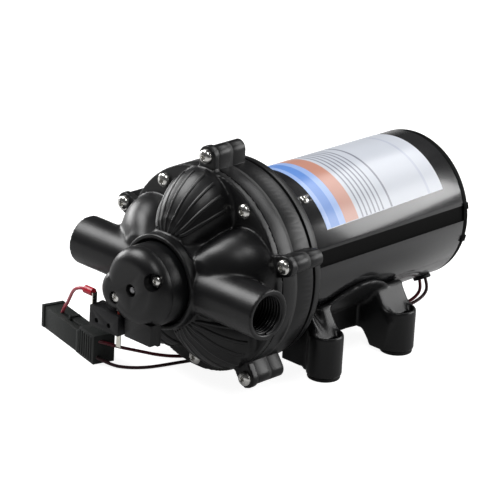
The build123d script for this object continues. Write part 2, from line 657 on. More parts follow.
# Diaphragm: one rubber sheet with a deep roll round each piston
with BuildPart() as diaphragm:
    roll_rear = HOUSING_FACE + ROLL_REACH
    roll_tilted_rear = roll_rear - DIAPHRAGM_FACE + DIAPHRAGM_T
    flange_plate(HOUSING_FACE, DIAPHRAGM_T, BOSS_R)
    bars(across(roll_rear), ROLL_OUTER_R, roll_rear - DIAPHRAGM_FACE, spots(CHAMBER_R))
    bars(across(roll_rear - ROLL_T), ROLL_OUTER_R - ROLL_WALL, roll_rear, spots(CHAMBER_R), Mode.SUBTRACT)
    bars(across(roll_rear), ROLL_INNER_R + ROLL_WALL / 2, ROLL_T, spots(CHAMBER_R), Mode.SUBTRACT)
    roll_end = tilted(roll_tilted_rear)
    half_t = DIAPHRAGM_T / 2
    bars(roll_end, ROLL_INNER_R + ROLL_WALL, roll_tilted_rear + half_t, spots(CHAMBER_R))
    bars(roll_end, ROLL_INNER_R, roll_tilted_rear - half_t, spots(CHAMBER_R), Mode.SUBTRACT)
    screw_hole_r = PISTON_SCREW_R + SCREW_HOLE_GAP
    bars(tilted(DIAPHRAGM_T), screw_hole_r, 2 * DIAPHRAGM_T, spots(CHAMBER_R), Mode.SUBTRACT)
    ring(roll_rear, roll_rear + 2 * ROLL_REACH, 0, SCREW_R, mode=Mode.SUBTRACT)
finish(diaphragm.part, "diaphragm")

# Pistons in front of the diaphragm and the screws that clamp them to the wobble plate
PISTON_BACK = -DIAPHRAGM_T / 2
PISTON_SCREW_SEAT = PISTON_BACK - PISTON_T + PISTON_SCREW_SINK + PISTON_SCREW_CAP_H
PISTON_BORE_END = BEARING_FRONT - PISTON_SCREW_END_WALL
with BuildPart() as pistons:
    bars(tilted(PISTON_BACK), PISTON_R, PISTON_T, spots(CHAMBER_R))
    bars(tilted(PISTON_SCREW_SEAT), PISTON_SCREW_CAP_R + FIT, PISTON_T, spots(CHAMBER_R), Mode.SUBTRACT)
    bars(tilted(PISTON_BACK), PISTON_SCREW_R + FIT, PISTON_T, spots(CHAMBER_R), Mode.SUBTRACT)
finish(pistons.part, "pistons")

with BuildPart() as piston_screws:
    shank_end = PISTON_BORE_END - PISTON_SCREW_SINK
    cap_front = PISTON_SCREW_SEAT - PISTON_SCREW_CAP_H
    bars(tilted(PISTON_SCREW_SEAT), PISTON_SCREW_CAP_R, PISTON_SCREW_CAP_H, spots(CHAMBER_R))
    bars(tilted(shank_end), PISTON_SCREW_R, shank_end - PISTON_SCREW_SEAT, spots(CHAMBER_R))
    recess_floor = tilted(cap_front + PISTON_RECESS_DEPTH)
    bars(recess_floor, PISTON_RECESS_R, PISTON_RECESS_DEPTH, spots(CHAMBER_R), Mode.SUBTRACT)
finish(piston_screws.part, "piston_screws")

# Wobble plate: pads behind the pistons, five arms and the hub round the bearing
with BuildPart() as wobble_plate:
    bars(tilted(SPIDER_FRONT), PAD_R, SPIDER_FRONT - DIAPHRAGM_T / 2, spots(CHAMBER_R))
    with BuildSketch(tilted(BEARING_FRONT)) as spider:
        Circle(WOBBLE_HUB_R)
        with five(CHAMBER_R / 2):
            Rectangle(CHAMBER_R, ARM_W)
        with five(CHAMBER_R):
            Circle(PAD_R)
    extrude(spider.sketch, amount=SPIDER_T)
    ring(BEARING_FRONT, BEARING_REAR, BEARING_R + FIT, WOBBLE_HUB_R, TILT_SIDE, TILT_TURN)
    bars(tilted(BEARING_FRONT + PAST), BEARING_R - RACE_T, SPIDER_T + 2 * PAST, mode=Mode.SUBTRACT)
    bars(tilted(PISTON_BORE_END), PISTON_SCREW_R + FIT, PISTON_BORE_END, spots(CHAMBER_R), Mode.SUBTRACT)
finish(wobble_plate.part, "wobble_plate")


def inner_race(front, bore, race, width, plane=SIDE, axis=TURN):
    """Inner race of a ball bearing."""
    with BuildPart() as piece:
        ring(front, front + width, bore, bore + race, plane, axis)
    return piece.part


def outer_race_and_balls(front, bore, outer, race, width, count, plane=SIDE, axis=TURN):
    """Outer race of a ball bearing with the balls that run in it."""
    ball_r = (outer - bore) / 2 - race - FIT
    pitch_r = (outer + bore) / 2
    with BuildPart() as piece:
        ring(front, front + width, outer - race, outer, plane, axis)
        balls = [plane.from_local_coords((front + width / 2, z, x)) for x, z in spots(pitch_r, 0, count)]
        with Locations(*balls):
            Sphere(ball_r)
    return piece.part


cam_inner = inner_race(BEARING_FRONT, BEARING_BORE_R, RACE_T, BEARING_W, TILT_SIDE, TILT_TURN)
finish(cam_inner, "cam_bearing_inner_race")
cam_outer = outer_race_and_balls(
    BEARING_FRONT, BEARING_BORE_R, BEARING_R, RACE_T, BEARING_W, CAM_BALLS, TILT_SIDE, TILT_TURN
)
finish(cam_outer, "cam_bearing_outer_race")

# Cam: the tilted journal on the motor shaft, with its grub screw
CAM_FRONT = BEARING_FRONT - CAM_NOSE_L
GRUB_PLACE = tilted(CAM_FRONT + CAM_NOSE_L / 2).origin
with BuildPart() as cam:
    ring(CAM_FRONT, BEARING_FRONT, 0, CAM_NOSE_R, TILT_SIDE, TILT_TURN)
    ring(BEARING_FRONT, BEARING_REAR, 0, BEARING_BORE_R - FIT, TILT_SIDE, TILT_TURN)
    ring(BEARING_REAR, BEARING_REAR + CAM_SHOULDER_T, 0, CAM_SHOULDER_R, TILT_SIDE, TILT_TURN)
    ring(WOBBLE_CENTRE, HOUSING_LEN, 0, SHAFT_R + FIT, mode=Mode.SUBTRACT)
    grub_way = Plane(GRUB_PLACE, x_dir=(0, 1, 0), z_dir=(1, 0, 0))
    bars(grub_way, GRUB_R + FIT, CAM_NOSE_R + PAST, mode=Mode.SUBTRACT)
finish(cam.part, "cam")

with BuildPart() as cam_grub_screw:
    grub_start = GRUB_PLACE + Vector(SHAFT_R + FIT, 0, 0)
    grub_end = GRUB_PLACE + Vector(CAM_NOSE_R - RUN_GAP, 0, 0)
    bars(Plane(grub_start, x_dir=(0, 1, 0), z_dir=(1, 0, 0)), GRUB_R, (grub_end - grub_start).length)
    with BuildSketch(Plane(grub_end, x_dir=(0, 1, 0), z_dir=(-1, 0, 0))) as socket:
        RegularPolygon(GRUB_SOCKET_R, 6)
    extrude(socket.sketch, amount=GRUB_SOCKET_DEPTH, mode=Mode.SUBTRACT)
finish(cam_grub_screw.part, "cam_grub_screw")


# Drive housing: a round drum with a groove and a rim, drawn in to the motor behind
with BuildPart() as drive_housing:
    flange_plate(HOUSING_FLANGE_REAR, HOUSING_FLANGE_T, BOSS_R, screw_holes=False)
    turn([
        (HOUSING_FLANGE_REAR - PAST, 0),
        (HOUSING_FLANGE_REAR - PAST, HEAD_R),
        (GROOVE_FRONT, HEAD_R),
        (GROOVE_FRONT, HEAD_R - GROOVE_DEPTH),
        (GROOVE_FRONT + GROOVE_W, HEAD_R - GROOVE_DEPTH),
        (GROOVE_FRONT + GROOVE_W, HEAD_R),
        (RIM_REAR, RIM_R),
        (HOUSING_LEN, HOUSING_REAR_R),
        (HOUSING_LEN, 0),
    ])
    turn([
        (HOUSING_FLANGE_REAR, 0),
        (HOUSING_FLANGE_REAR, HEAD_R - HOUSING_WALL),
        (RIM_REAR - HOUSING_WALL, HEAD_R - HOUSING_WALL),
        (REAR_WALL, HOUSING_REAR_R - HOUSING_WALL),
        (REAR_WALL, 0),
    ], mode=Mode.SUBTRACT)
    lobes_rear = HOUSING_FLANGE_REAR + RUN_GAP
    bars(across(lobes_rear), ROLL_OUTER_R + LOBE_GAP, HOUSING_FLANGE_REAR, spots(CHAMBER_R), Mode.SUBTRACT)
    bars(across(lobes_rear), SPIDER_OPENING_R, HOUSING_FLANGE_REAR, mode=Mode.SUBTRACT)
    bars(across(HOUSING_LEN), BEARING_BOSS_R + FIT, REAR_WALL_T + PAST, mode=Mode.SUBTRACT)
    bars(across(HEAD_SCREW_BORE), HEAD_SCREW_R + FIT, HEAD_SCREW_BORE, HEAD_SCREW_SPOTS, Mode.SUBTRACT)
    flange_screw_spots = spots(FLANGE_SCREW_AT, QUARTER, FLANGE_SCREWS)
    bars(across(HOUSING_LEN), FLANGE_SCREW_R + FIT, REAR_WALL_T + PAST, flange_screw_spots, Mode.SUBTRACT)
finish(drive_housing.part, "drive_housing")
flange_screws = pan_screws(
    REAR_WALL,
    FLANGE_SCREW_CAP_R,
    FLANGE_SCREW_CAP_H,
    FLANGE_SCREW_R,
    REAR_WALL + FLANGE_SCREW_L,
    flange_screw_spots,
)
finish(flange_screws, "motor_flange_screws")

# Motor shell: front plate, can, sleeve and end cap, held by through bolts and small screws
BOLT_SPOTS = [(0, BOLT_AT), (0, -BOLT_AT)]
BOLT_FRONT = HOUSING_LEN + RUN_GAP
BOLT_SEAT = MOTOR_END - BOLT_CAP_H - BOLT_SINK


def can_screw_holes(inner):
    """Cuts the holes of the can screws outwards from a radius."""
    for angle in CAN_SCREW_ANGLES:
        bars(radial(CAN_SCREW_AT, angle, inner), CAN_SCREW_R + FIT, CAN_R, mode=Mode.SUBTRACT)


with BuildPart() as motor_front_plate:
    skirt_rear = FRONT_PLATE_REAR + FRONT_SKIRT_L
    ring(HOUSING_LEN, FRONT_PLATE_REAR, 0, CAN_BORE_R - FIT)
    ring(REAR_WALL, HOUSING_LEN, 0, BEARING_BOSS_R)
    ring(FRONT_PLATE_REAR, skirt_rear, CAN_BORE_R - FIT - FRONT_SKIRT_T, CAN_BORE_R - FIT)
    ring(REAR_WALL - PAST, skirt_rear, 0, BALL_RACE_R + FIT, mode=Mode.SUBTRACT)
    bars(across(skirt_rear), BOLT_R + FIT, skirt_rear - BOLT_FRONT + FIT, BOLT_SPOTS, Mode.SUBTRACT)
    bars(across(FRONT_PLATE_REAR), FLANGE_SCREW_R + FIT, FRONT_PLATE_T, flange_screw_spots, Mode.SUBTRACT)
    can_screw_holes(CAN_BORE_R - CAN_SCREW_L)
finish(motor_front_plate.part, "motor_front_plate")

with BuildPart() as motor_can:
    ring(HOUSING_LEN, END_CAP_FRONT, CAN_BORE_R, CAN_R)
    can_screw_holes(CAN_BORE_R - PAST)
    bars(radial(GROMMET_AT, GROMMET_ANGLE, CAN_BORE_R - PAST), GROMMET_R + FIT, CAN_R, mode=Mode.SUBTRACT)
    for station in BASE_SCREW_STATIONS:
        bars(radial(station, -90, CAN_BORE_R - PAST), BASE_SCREW_R + FIT, CAN_R, mode=Mode.SUBTRACT)
finish(motor_can.part, "motor_can")

with BuildPart() as flux_sleeve:
    ring(SLEEVE_FRONT, SLEEVE_REAR, CAN_R, SLEEVE_R)
    with BuildSketch(radial(SLEEVE_REAR, SLEEVE_GAP_ANGLE, CAN_R - PAST)) as gap:
        with Locations((-(SLEEVE_REAR - SLEEVE_FRONT) / 2, 0)):
            Rectangle(SLEEVE_REAR - SLEEVE_FRONT + 2 * PAST, SLEEVE_GAP_W)
    extrude(gap.sketch, amount=CAN_R, mode=Mode.SUBTRACT)
    can_screw_holes(CAN_BORE_R)
    bars(radial(GROMMET_AT, GROMMET_ANGLE, CAN_BORE_R), GROMMET_R + FIT, CAN_R, mode=Mode.SUBTRACT)
    for station in BASE_SCREW_STATIONS:
        bars(radial(station, -90, CAN_BORE_R), BASE_SCREW_R + FIT, CAN_R, mode=Mode.SUBTRACT)
finish(flux_sleeve.part, "flux_sleeve")

with BuildPart() as motor_end_cap:
    ring(END_CAP_FRONT, MOTOR_END, 0, SLEEVE_R)
    fillet(motor_end_cap.edges().filter_by(GeomType.CIRCLE).group_by(Axis.Y)[-1], END_CAP_FILLET)
    spigot_front = END_CAP_FRONT - SPIGOT_L
    ring(spigot_front, END_CAP_FRONT, CAN_BORE_R - FRONT_SKIRT_T, CAN_BORE_R - FIT)
    ring(END_CAP_FRONT - REAR_BOSS_L, END_CAP_FRONT, 0, BEARING_BOSS_R)
    for angle in TAB_ANGLES:
        with BuildSketch(radial(END_CAP_FRONT + TAB_L / 2, angle, CAN_R - END_CAP_FILLET)) as tab:
            Rectangle(TAB_L, TAB_W)
        extrude(tab.sketch, amount=TAB_R - CAN_R + END_CAP_FILLET)
    race_end = REAR_RACE + BALL_RACE_W
    ring(END_CAP_FRONT - REAR_BOSS_L - PAST, race_end, 0, BALL_RACE_R + FIT, mode=Mode.SUBTRACT)
    bars(across(MOTOR_END), BOLT_R + FIT, END_CAP_T + SPIGOT_L, BOLT_SPOTS, Mode.SUBTRACT)
    bars(across(MOTOR_END), BOLT_CAP_R + FIT, MOTOR_END - BOLT_SEAT, BOLT_SPOTS, Mode.SUBTRACT)
finish(motor_end_cap.part, "motor_end_cap")

with BuildPart() as through_bolts:
    bars(across(BOLT_SEAT), BOLT_R, BOLT_SEAT - BOLT_FRONT, BOLT_SPOTS)
    bars(across(BOLT_SEAT + BOLT_CAP_H), BOLT_CAP_R, BOLT_CAP_H, BOLT_SPOTS)
    with BuildSketch(across(BOLT_SEAT + BOLT_CAP_H)) as recesses:
        with Locations(*BOLT_SPOTS):
            RegularPolygon(RECESS_R, 6)
    extrude(recesses.sketch, amount=RECESS_DEPTH, mode=Mode.SUBTRACT)
finish(through_bolts.part, "through_bolts")

with BuildPart() as can_screws:
    for angle in CAN_SCREW_ANGLES:
        bars(radial(CAN_SCREW_AT, angle, SLEEVE_R), CAN_SCREW_CAP_R, CAN_SCREW_CAP_H)
        bars(radial(CAN_SCREW_AT, angle, SLEEVE_R - CAN_SCREW_L), CAN_SCREW_R, CAN_SCREW_L)
finish(can_screws.part, "can_screws")

with BuildPart() as lead_grommet:
    bars(radial(GROMMET_AT, GROMMET_ANGLE, SLEEVE_R - GROMMET_DEPTH), GROMMET_R, GROMMET_DEPTH)
    bars(radial(GROMMET_AT, GROMMET_ANGLE, SLEEVE_R), GROMMET_FLANGE_R, GROMMET_FLANGE_T)
finish(lead_grommet.part, "lead_grommet")

# Motor bearings, shaft, armature, magnets and brushes
for end, front in (("front", FRONT_RACE), ("rear", REAR_RACE)):
    motor_inner = inner_race(front, SHAFT_R + FIT, BALL_RACE_WALL, BALL_RACE_W)
    finish(motor_inner, f"{end}_bearing_inner_race")
    motor_outer = outer_race_and_balls(
        front, SHAFT_R + FIT, BALL_RACE_R, BALL_RACE_WALL, BALL_RACE_W, MOTOR_BALLS
    )
    finish(motor_outer, f"{end}_bearing_outer_race")

with BuildPart() as shaft:
    ring(SHAFT_FRONT, REAR_RACE + BALL_RACE_W - RUN_GAP, 0, SHAFT_R)
finish(shaft.part, "shaft")

ARMATURE_REAR = ARMATURE_FRONT + ARMATURE_L
with BuildPart() as armature_core:
    ring(ARMATURE_FRONT, ARMATURE_REAR, SHAFT_R + FIT, ARMATURE_R)
    with BuildSketch(across(ARMATURE_REAR)) as core_slots:
        with PolarLocations(ARMATURE_R - SLOT_DEPTH / 2 + PAST, SLOTS):
            Rectangle(SLOT_DEPTH + 2 * PAST, SLOT_W)
    extrude(core_slots.sketch, amount=ARMATURE_L, mode=Mode.SUBTRACT)
finish(armature_core.part, "armature_core")

with BuildPart() as windings:
    slot_floor = ARMATURE_R - SLOT_DEPTH + SLOT_GAP
    ring(ARMATURE_FRONT - COIL_L, ARMATURE_FRONT, COIL_INNER_R, COIL_R)
    ring(ARMATURE_REAR, ARMATURE_REAR + COIL_L, COIL_INNER_R, COIL_R)
    with BuildSketch(across(ARMATURE_REAR)) as bundles:
        with PolarLocations((slot_floor + COIL_R - PAST) / 2, SLOTS):
            Rectangle(COIL_R - PAST - slot_floor, SLOT_W - 2 * SLOT_GAP)
    extrude(bundles.sketch, amount=ARMATURE_L)
finish(windings.part, "windings")

with BuildPart() as commutator:
    ring(COMMUTATOR_FRONT, COMMUTATOR_FRONT + COMMUTATOR_L, SHAFT_R + FIT, COMMUTATOR_R)
finish(commutator.part, "commutator")

with BuildSketch(Plane.XY) as magnet_wedges:
    far_x = SLEEVE_R
    far_z = far_x * math.tan(math.radians(MAGNET_HALF_ARC))
    for side in (-1, 1):
        Polygon((0, 0), (side * far_x, far_z), (side * far_x, -far_z), align=None)
with BuildPart() as magnets:
    with BuildSketch(across(MAGNET_FRONT + MAGNET_L)) as magnet_arcs:
        Circle(CAN_BORE_R - MAGNET_GAP)
        Circle(CAN_BORE_R - MAGNET_T, mode=Mode.SUBTRACT)
        add(magnet_wedges.sketch, mode=Mode.INTERSECT)
    extrude(magnet_arcs.sketch, amount=MAGNET_L)
finish(magnets.part, "magnets")

COMMUTATOR_MID = COMMUTATOR_FRONT + COMMUTATOR_L / 2
HOLDER_REAR = COMMUTATOR_MID + BRUSH_H / 2 + HOLDER_WALL + RUN_GAP
HOLDER_FRONT = COMMUTATOR_MID - BRUSH_H / 2 - HOLDER_WALL - RUN_GAP
BRUSH_STATIONS = (COMMUTATOR_MID - BRUSH_H / 2, COMMUTATOR_MID + BRUSH_H / 2)
BRUSH_START = COMMUTATOR_R + BRUSH_GAP
BRUSH_BACK = BRUSH_START + BRUSH_L
with BuildPart() as brush_card:
    ring(HOLDER_REAR, HOLDER_REAR + BRUSH_CARD_T, BRUSH_CARD_BORE_R, CAN_BORE_R - MAGNET_GAP)
    bars(across(HOLDER_REAR + BRUSH_CARD_T), BOLT_R + FIT, BRUSH_CARD_T, BOLT_SPOTS, Mode.SUBTRACT)
finish(brush_card.part, "brush_card")

with BuildPart() as brush_holders:
    outer_half = BRUSH_W / 2 + HOLDER_WALL
    inner_half = BRUSH_W / 2 + FIT
    channel = (BRUSH_STATIONS[0] - FIT, BRUSH_STATIONS[1] + FIT)
    for side in (-1, 1):
        body_x = sorted((side * HOLDER_START_R, side * HOLDER_END_R))
        channel_x = sorted((0, side * (HOLDER_END_R - HOLDER_WALL)))
        block(body_x, (HOLDER_FRONT, HOLDER_REAR), (-outer_half, outer_half))
        block(channel_x, channel, (-inner_half, inner_half), Mode.SUBTRACT)
finish(brush_holders.part, "brush_holders")

for name, side in (("left", -1), ("right", 1)):
    with BuildPart() as brush:
        block(sorted((0, side * BRUSH_BACK)), BRUSH_STATIONS, (-BRUSH_W / 2, BRUSH_W / 2))
        ring(COMMUTATOR_FRONT, COMMUTATOR_FRONT + COMMUTATOR_L, 0, BRUSH_START, mode=Mode.SUBTRACT)
    finish(brush.part, f"brush_{name}")
    spring_y = FLANGE_Y + COMMUTATOR_MID
    spring = coil(
        (side * BRUSH_BACK, spring_y, AXIS_H),
        (side * (HOLDER_END_R - HOLDER_WALL), spring_y, AXIS_H),
        BRUSH_SPRING_R, BRUSH_WIRE_R, BRUSH_SPRING_TURNS,
    )
    finish(spring, f"brush_spring_{name}")

# Base: cradle under the motor, keel, four legs with round feet, and their rubber grommets
FOOT_Z = FOOT_TOP - AXIS_H
FOOT_LOW_Z = PAD_T - AXIS_H
CRADLE_EDGE_X = math.sqrt(CRADLE_R**2 - SADDLE_END_Z**2)
with BuildPart() as base:
    with BuildSketch(Plane.XY.offset(PAD_T)) as feet:
        with GridLocations(HOLE_X, HOLE_Y, 2, 2):
            Circle(FOOT_R)
    extrude(feet.sketch, amount=FOOT_TOP - PAD_T)
    fillet(base.edges().filter_by(GeomType.CIRCLE).group_by(Axis.Z)[-1], FOOT_FILLET)
    ring(SADDLE_FRONT, SADDLE_REAR, SADDLE_R, CRADLE_R)
    block((-KEEL_HALF_W, KEEL_HALF_W), (SADDLE_FRONT, SADDLE_REAR), (KEEL_Z, KEEL_TOP_Z))
    for side in (-1, 1):
        for leg_front, leg_rear in LEG_SPANS:
            shoulder = (side * CRADLE_EDGE_X, SADDLE_END_Z)
            over_foot = (side * (HOLE_X / 2 + LEG_OVER_FOOT), FOOT_Z)
            root_x = side * (KEEL_HALF_W - LEG_OVERLAP)
            with BuildSketch(across(leg_rear)) as leg:
                with BuildLine():
                    ThreePointArc(shoulder, (side * LEG_BULGE_X, LEG_BULGE_Z), over_foot)
                    Polyline(
                        over_foot,
                        (side * HOLE_X / 2, FOOT_LOW_Z),
                        (side * (HOLE_X / 2 - LEG_INSIDE), FOOT_LOW_Z),
                        (side * (KEEL_HALF_W + LEG_ROOT), KEEL_Z - LEG_ROOT_DROP),
                        (root_x, KEEL_Z),
                        (root_x, KEEL_TOP_Z - LEG_JOINT_DROP),
                        shoulder,
                    )
                make_face()
            extrude(leg.sketch, amount=leg_rear - leg_front)
        skirt_x = sorted((side * LEG_SKIRT_X, side * (HOLE_X / 2)))
        skirt_z = (KEEL_Z - LEG_SKIRT_DROP, KEEL_Z)
        block(skirt_x, (LEG_SPANS[0][0], LEG_SPANS[0][0] + LEG_SKIRT_T), skirt_z)
        block(skirt_x, (LEG_SPANS[1][1] - LEG_SKIRT_T, LEG_SPANS[1][1]), skirt_z)
    with BuildSketch(SIDE) as above_edge:
        with BuildLine():
            Line((SADDLE_FRONT - PAST, SADDLE_END_Z), (HUMP_FRONT, SADDLE_END_Z))
            ThreePointArc(
                (HUMP_FRONT, SADDLE_END_Z), ((HUMP_FRONT + HUMP_REAR) / 2, HUMP_Z), (HUMP_REAR, SADDLE_END_Z)
            )
            Polyline(
                (HUMP_REAR, SADDLE_END_Z), (SADDLE_REAR + PAST, SADDLE_END_Z), (SADDLE_REAR + PAST, AXIS_H),
                (SADDLE_FRONT - PAST, AXIS_H), (SADDLE_FRONT - PAST, SADDLE_END_Z),
            )
        make_face()
    extrude(above_edge.sketch, amount=HOLE_X, both=True, mode=Mode.SUBTRACT)
    ring(SADDLE_FRONT - PAST, SADDLE_REAR + PAST, 0, SADDLE_R, mode=Mode.SUBTRACT)
    for angle in CAN_SCREW_ANGLES[2:]:
        bars(radial(CAN_SCREW_AT, angle, SLEEVE_R), CAN_SCREW_CAP_R + RUN_GAP, SADDLE_L, mode=Mode.SUBTRACT)
    with BuildSketch(Plane.XY) as bores:
        with GridLocations(HOLE_X, HOLE_Y, 2, 2):
            Circle(GROMMET_CORE_R)
    extrude(bores.sketch, amount=FOOT_TOP, mode=Mode.SUBTRACT)
    with BuildSketch(Plane.XY.offset(FOOT_TOP - PAD_FLANGE_T)) as counterbores:
        with GridLocations(HOLE_X, HOLE_Y, 2, 2):
            Circle(PAD_FLANGE_R)
    extrude(counterbores.sketch, amount=PAD_FLANGE_T + PAST, mode=Mode.SUBTRACT)
    for station in BASE_SCREW_STATIONS:
        bars(radial(station, -90, SADDLE_R - PAST), BASE_SCREW_R + FIT, AXIS_H, mode=Mode.SUBTRACT)
        screw_seat_r = -KEEL_Z - BASE_SCREW_CAP_H - BASE_SCREW_SINK
        bars(radial(station, -90, screw_seat_r), BASE_SCREW_CAP_R + FIT, AXIS_H, mode=Mode.SUBTRACT)
finish(base.part, "base")

with BuildPart() as base_screws:
    for station in BASE_SCREW_STATIONS:
        bars(radial(station, -90, BASE_SCREW_TIP_R), BASE_SCREW_R, screw_seat_r - BASE_SCREW_TIP_R)
        bars(radial(station, -90, screw_seat_r), BASE_SCREW_CAP_R, BASE_SCREW_CAP_H)
finish(base_screws.part, "base_screws")

with BuildPart() as foot_grommets:
    for start, radius, height in (
        (0, PAD_FOOT_R, PAD_T),
        (PAD_T, GROMMET_CORE_R - FIT, FOOT_TOP - PAD_T),
        (FOOT_TOP - PAD_FLANGE_T, PAD_FLANGE_R - FIT, PAD_FLANGE_T),
    ):
        with BuildSketch(Plane.XY.offset(start)) as layer:
            with GridLocations(HOLE_X, HOLE_Y, 2, 2):
                Circle(radius)
        extrude(layer.sketch, amount=height)
    with BuildSketch(Plane.XY) as foot_holes:
        with GridLocations(HOLE_X, HOLE_Y, 2, 2):
            Circle(FOOT_HOLE_R)
    extrude(foot_holes.sketch, amount=FOOT_TOP, mode=Mode.SUBTRACT)
finish(foot_grommets.part, "foot_grommets")

# Pressure switch: sensing diaphragm, plunger, spring and its adjusting screw
PLUNGER_BACK = -HUB_FACE - SWITCH_DIAPHRAGM_T
PLUNGER_FACE = PLUNGER_BACK - PLUNGER_T
PIN_LINE = Plane(
    origin=(CRANK_PIN_X[0], FLANGE_Y - CRANK_PIN_AT, AXIS_H + CRANK_PIN_Z), x_dir=(0, 1, 0), z_dir=(1, 0, 0)
)
with BuildPart() as switch_diaphragm:
    ring(PLUNGER_BACK, -HUB_FACE, 0, SWITCH_DIAPHRAGM_R)
finish(switch_diaphragm.part, "switch_diaphragm")

with BuildPart() as pressure_plunger:
    ring(PLUNGER_FACE, PLUNGER_BACK, 0, PLUNGER_R)
    ring(PLUNGER_FACE - PLUNGER_ROD_L, PLUNGER_FACE, 0, PLUNGER_ROD_R)
finish(pressure_plunger.part, "pressure_plunger")

spring_start = (0, FLANGE_Y + PLUNGER_FACE, AXIS_H)
spring_end = (0, FLANGE_Y - SWITCH_SPLIT, AXIS_H)
pressure_spring = coil(spring_start, spring_end, SPRING_R, SPRING_WIRE_R, SPRING_TURNS)
finish(pressure_spring, "pressure_spring")

with BuildPart() as spring_seat:
    ring(-SWITCH_SPLIT - SPRING_SEAT_T, -SWITCH_SPLIT, ADJUST_SCREW_R + FIT, SPRING_SEAT_R)
finish(spring_seat.part, "spring_seat")

with BuildPart() as adjusting_screw:
    ring(-NUB_REAR, -ADJUST_TIP, 0, ADJUST_SCREW_R)
    ring(-NUB_REAR - NUB_L, -NUB_REAR, 0, NUB_R)
    slot_stations = (-NUB_REAR - NUB_L, -NUB_REAR - NUB_L / 2)
    slot_z = (-DRIVER_SLOT_W / 2, DRIVER_SLOT_W / 2)
    block((-NUB_R, NUB_R), slot_stations, slot_z, Mode.SUBTRACT)
finish(adjusting_screw.part, "adjusting_screw")


def crank_room():
    """Cuts the pocket that the crank swings in."""
    room = CRANK_HUB_R + CRANK_ROOM
    finger_x = (CRANK_FINGER_X[0] - CRANK_ROOM, CRANK_FINGER_X[1] + CRANK_ROOM)
    finger_z = (CRANK_PIN_Z - room, CRANK_NOSE_Z + CRANK_ROOM)
    arm_x = (CRANK_ARM_X[0] - CRANK_ROOM, CRANK_ARM_X[1] + CRANK_ROOM)
    arm_z = (SWITCH_BOTTOM_Z - PAST, CRANK_PIN_Z + room)
    hub_z = (CRANK_PIN_Z - room, CRANK_PIN_Z + room)
    hub_stations = (-CRANK_PIN_AT - room, -CRANK_PIN_AT + room)
    block(finger_x, (-CRANK_PIN_AT - room, PLUNGER_FACE), finger_z, Mode.SUBTRACT)
    block((arm_x[0], finger_x[1]), hub_stations, hub_z, Mode.SUBTRACT)
    block(arm_x, (BUTTON_AT - CRANK_T, -CRANK_PIN_AT), arm_z, Mode.SUBTRACT)


BUTTON_AT = (MICRO_STATIONS[0] + MICRO_STATIONS[1]) / 2
BUTTON_X = (CRANK_ARM_X[0] + CRANK_ARM_X[1]) / 2
with BuildPart() as switch_body:
    bars(across(-HUB_FACE), SWITCH_R, SWITCH_SPLIT - HUB_FACE)
    bars(across(-LOBE_REAR), LOBE_R, SWITCH_SPLIT - LOBE_REAR, [LOBE_AT])
    ring(-SWITCH_SPLIT, -HUB_FACE, 0, SWITCH_CHAMBER_R, mode=Mode.SUBTRACT)
    ring(PLUNGER_BACK, -HUB_FACE, 0, SWITCH_DIAPHRAGM_R + FIT, mode=Mode.SUBTRACT)
    for place, *_ in SWITCH_SCREWS:
        bars(across(-HUB_FACE), SWITCH_SCREW_R + SCREW_HOLE_GAP, SWITCH_SPLIT, [place], Mode.SUBTRACT)
    crank_room()
    bars(PIN_LINE, CRANK_PIN_R + FIT, CRANK_PIN_X[1] - CRANK_PIN_X[0], mode=Mode.SUBTRACT)
finish(switch_body.part, "switch_body")

with BuildPart() as cap_lobe:
    bars(across(-SWITCH_SPLIT), LOBE_R, SWITCH_FACE - SWITCH_SPLIT, [LOBE_AT])
    fillet(cap_lobe.edges().filter_by(GeomType.CIRCLE).group_by(Axis.Y)[0], LOBE_FILLET)

with BuildPart() as switch_cap:
    bars(across(-SWITCH_SPLIT), SWITCH_R, SWITCH_FACE - SWITCH_SPLIT)
    fillet(switch_cap.edges().filter_by(GeomType.CIRCLE).group_by(Axis.Y)[0], SWITCH_EDGE_FILLET)
    add(cap_lobe.part)
    full_width = (-2 * SWITCH_R, 2 * SWITCH_R)
    below = (-2 * SWITCH_R, SWITCH_BOTTOM_Z)
    block(full_width, (-SWITCH_FACE - PAST, -SWITCH_SPLIT), below, Mode.SUBTRACT)
    bracket_stations = (-SWITCH_SPLIT - BRACKET_T, -SWITCH_SPLIT)
    block((MICRO_X[0], BRACKET_END_X), bracket_stations, (MICRO_Z[0], SWITCH_BOTTOM_Z))
    block(PILLAR_X, (-PILLAR_FRONT, -SWITCH_SPLIT), (PILLAR_LOW_Z, SWITCH_BOTTOM_Z + PAST))
    micro_pin_l = SWITCH_FACE - SWITCH_SPLIT - BRACKET_T - PAST
    bars(across(-SWITCH_SPLIT - BRACKET_T), MICRO_PIN_R, micro_pin_l, MICRO_PINS)
    ring(-SWITCH_SPLIT - CAP_HOLLOW_L, -SWITCH_SPLIT, 0, SWITCH_CHAMBER_R, mode=Mode.SUBTRACT)
    bars(across(-SWITCH_SPLIT), ADJUST_SCREW_R + FIT, SWITCH_FACE, mode=Mode.SUBTRACT)
    bars(across(-NUB_REAR), NUB_RECESS_R, SWITCH_FACE, mode=Mode.SUBTRACT)
    for place, seat, recess_r in SWITCH_SCREWS:
        bars(across(-SWITCH_SPLIT), SWITCH_SCREW_R + SCREW_HOLE_GAP, SWITCH_FACE, [place], Mode.SUBTRACT)
        bars(across(-seat), recess_r, SWITCH_FACE, [place], Mode.SUBTRACT)
    crank_room()
    bars(PIN_LINE, CRANK_PIN_R + FIT, CRANK_PIN_X[1] - CRANK_PIN_X[0], mode=Mode.SUBTRACT)
finish(switch_cap.part, "switch_cap")

